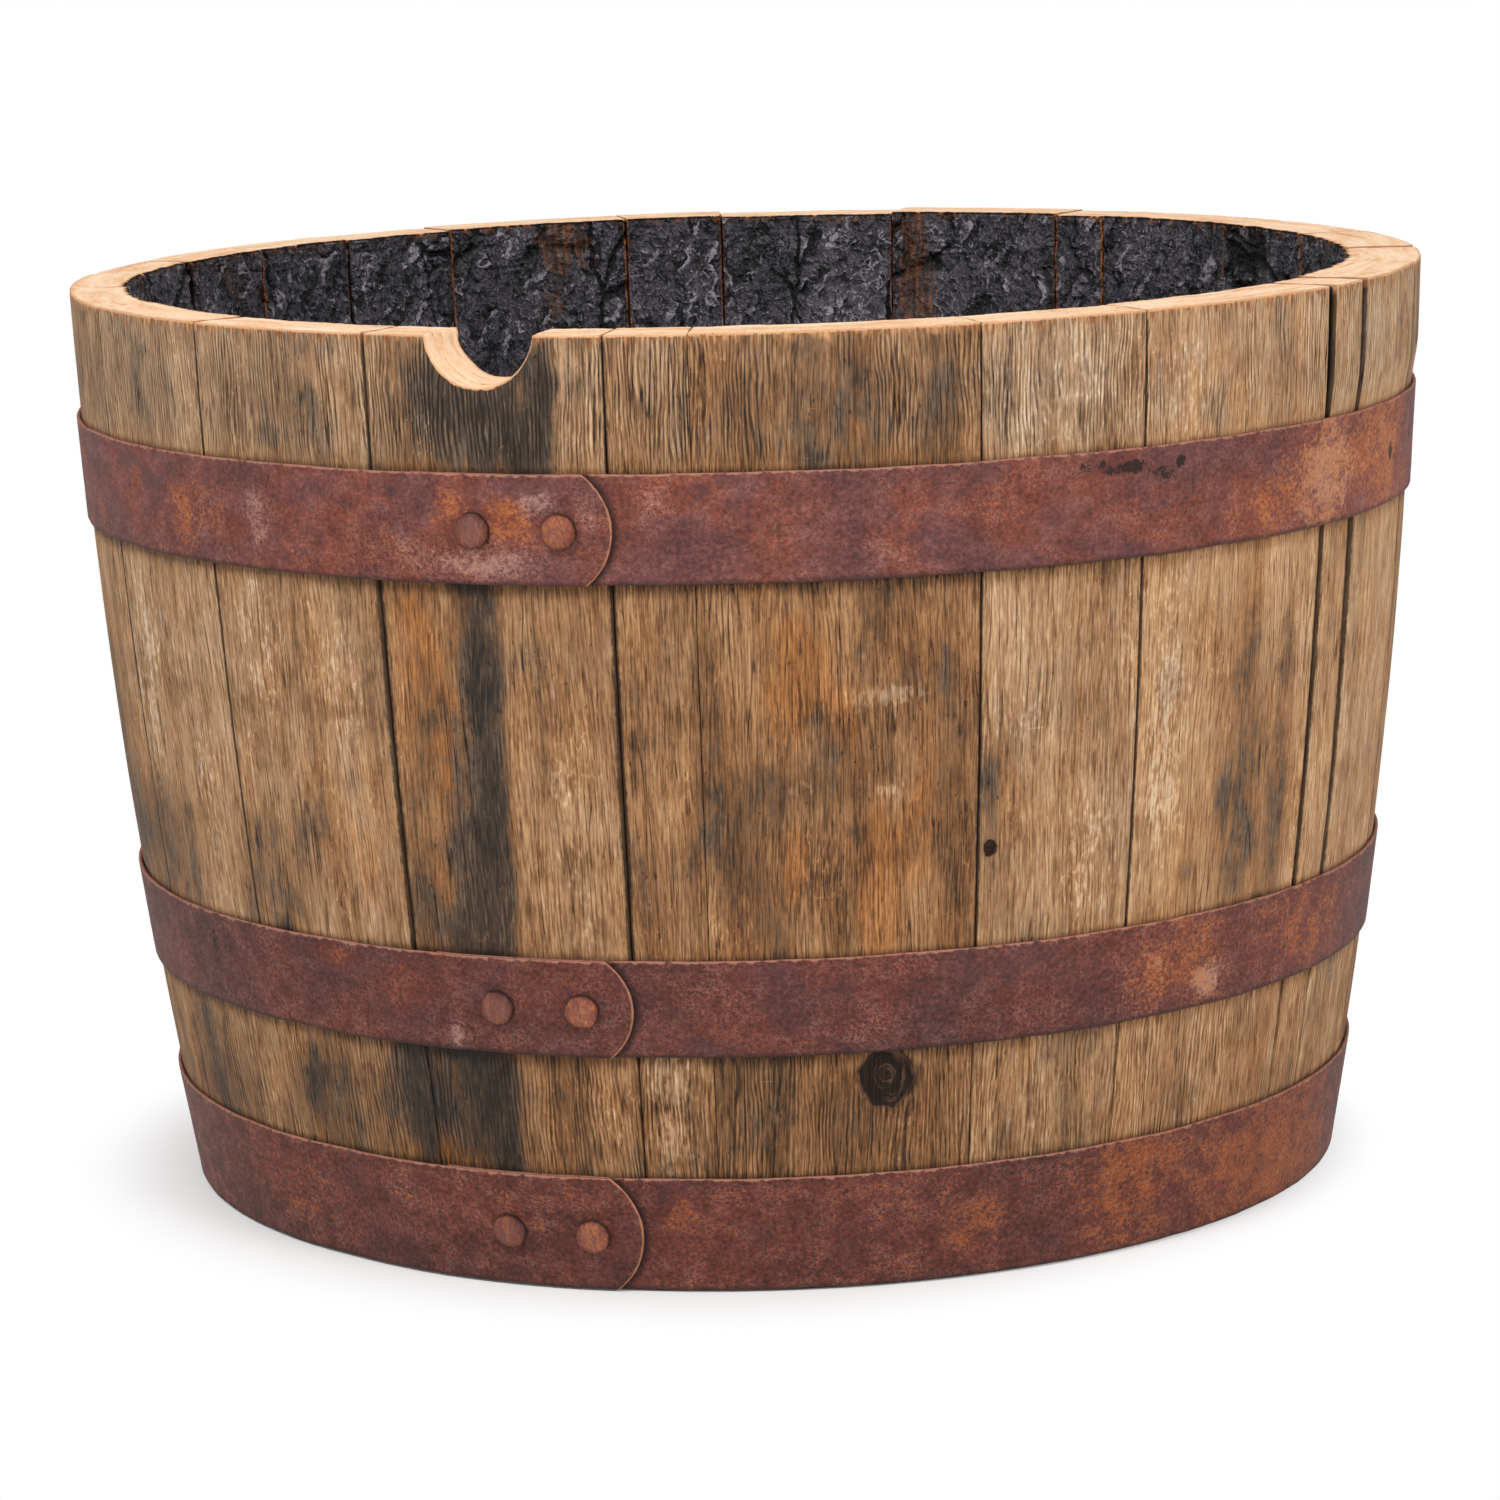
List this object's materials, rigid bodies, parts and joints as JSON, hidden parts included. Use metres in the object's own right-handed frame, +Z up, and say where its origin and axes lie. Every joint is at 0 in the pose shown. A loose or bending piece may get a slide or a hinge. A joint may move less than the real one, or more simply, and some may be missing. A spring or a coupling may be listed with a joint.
{
  "type": "barrel planter",
  "caption": "Half oak barrel with charred inside, sawn bung-hole notch in the rim and riveted steel hoops, standing on its head as a planter.",
  "frame": {"origin": "centre of the footprint, on the surface that the stave ends stand on", "axes": "+Z up through the rim; the bung notch faces -Y; the ring of staves is centred on Z"},
  "size_m": [0.653, 0.6574, 0.438],
  "materials": {
    "oak_staves": "weathered oak, sawn rim pale, inside charred black",
    "charred_oak": "charred above, raw grey oak below",
    "dowel_wood": "raw turned wood",
    "hoop_steel": "rolled mild steel strip, rusted",
    "rivet_steel": "hammered mild steel, rusted"
  },
  "bodies": {
    "root": {"stave_bung": "oak_staves", "stave_02": "oak_staves", "stave_03": "oak_staves", "stave_04": "oak_staves", "stave_05": "oak_staves", "stave_06": "oak_staves", "stave_07": "oak_staves", "stave_08": "oak_staves", "stave_09": "oak_staves", "stave_10": "oak_staves", "stave_11": "oak_staves", "stave_12": "oak_staves", "stave_13": "oak_staves", "stave_14": "oak_staves", "stave_15": "oak_staves", "stave_16": "oak_staves", "stave_17": "oak_staves", "stave_18": "oak_staves", "stave_19": "oak_staves", "stave_20": "oak_staves", "stave_21": "oak_staves", "stave_22": "oak_staves", "stave_23": "oak_staves", "stave_24": "oak_staves", "head_board_1": "charred_oak", "head_board_2": "charred_oak", "head_board_3": "charred_oak", "head_board_4": "charred_oak", "head_board_5": "charred_oak", "head_board_6": "charred_oak", "head_board_7": "charred_oak", "head_dowels": "dowel_wood", "hoop_bilge": "hoop_steel", "hoop_quarter": "hoop_steel", "hoop_chime": "hoop_steel", "rivets_bilge": "rivet_steel", "rivets_quarter": "rivet_steel", "rivets_chime": "rivet_steel"}
  },
  "joints": []
}
